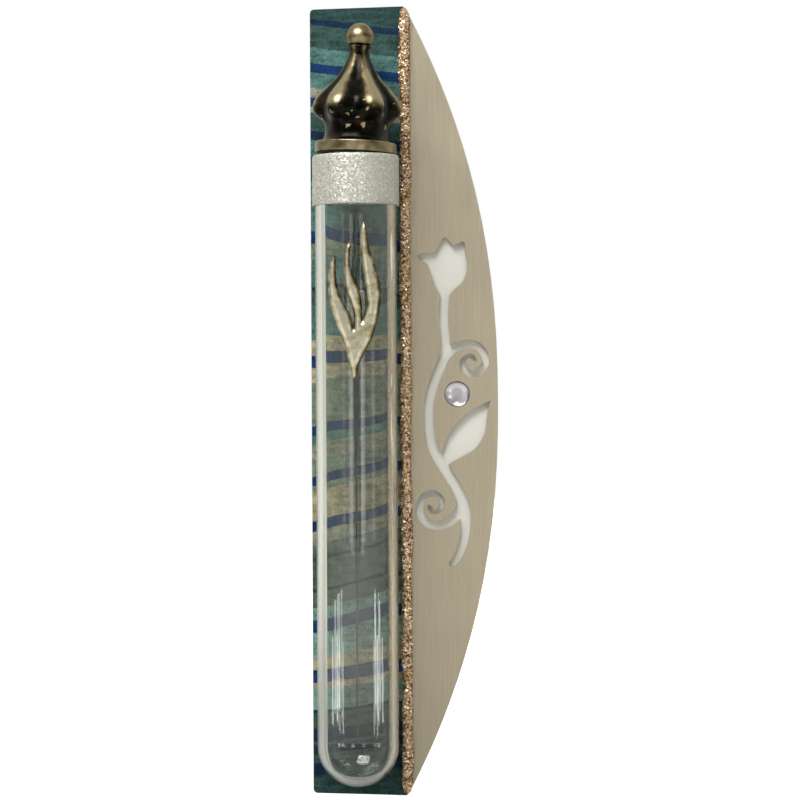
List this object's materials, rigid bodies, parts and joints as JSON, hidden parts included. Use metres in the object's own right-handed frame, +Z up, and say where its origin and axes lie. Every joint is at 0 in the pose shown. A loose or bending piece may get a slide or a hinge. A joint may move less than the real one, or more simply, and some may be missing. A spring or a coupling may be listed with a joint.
{
  "type": "mezuzah case",
  "caption": "Wall-mounted mezuzah case: a stoppered glass tube with a lobed metal crown, glued to a bow-shaped board faced with striped card and cut-out brushed steel.",
  "frame": {"origin": "centre of the foam tape's back face, where it meets the wall", "axes": "+Z up, +Y into the wall, +X to the right as seen from the front; the front faces -Y"},
  "size_m": [0.0376, 0.0251, 0.1586],
  "materials": {
    "foam_tape": "closed-cell foam, double-sided adhesive",
    "white_acrylic": "cut edges",
    "striped_card": "hand-painted stripes in teal, blue and sand",
    "brushed_steel": "fine vertical grain",
    "crystal_glass": "faceted, foil-backed",
    "copper_glitter": "coarse copper glitter in clear binder",
    "clear_glass": "clear, polished",
    "silver_glitter": "fine silver glitter film",
    "clear_glue": "clear adhesive",
    "antique_silver": "antiqued silver-gold casting",
    "clear_silicone": "translucent, ribbed",
    "antique_pewter": "dark antiqued casting, polished on the high spots"
  },
  "bodies": {
    "case": {"mounting_tape": "foam_tape", "base_board": "white_acrylic", "striped_panel": "striped_card", "steel_face": "brushed_steel", "crystal_stone": "crystal_glass", "glitter_bead": "copper_glitter", "glass_tube": "clear_glass", "mouth_band": "silver_glitter", "tube_glue": "clear_glue", "ornament_glue": "clear_glue", "flame_ornament": "antique_silver"},
    "stopper": {"stopper": "clear_silicone"},
    "crown": {"crown": "antique_pewter"}
  },
  "joints": [
    {"name": "stopper_pull", "type": "slide", "parent": "case", "child": "stopper", "axis": [0, 0, 1], "range_m": [0, 0.04]},
    {"name": "crown_twist", "type": "hinge", "parent": "stopper", "child": "crown", "pos_m": [-0.00948, -0.01505, 0.0486], "axis": [0, 0, 1], "continuous": true}
  ]
}
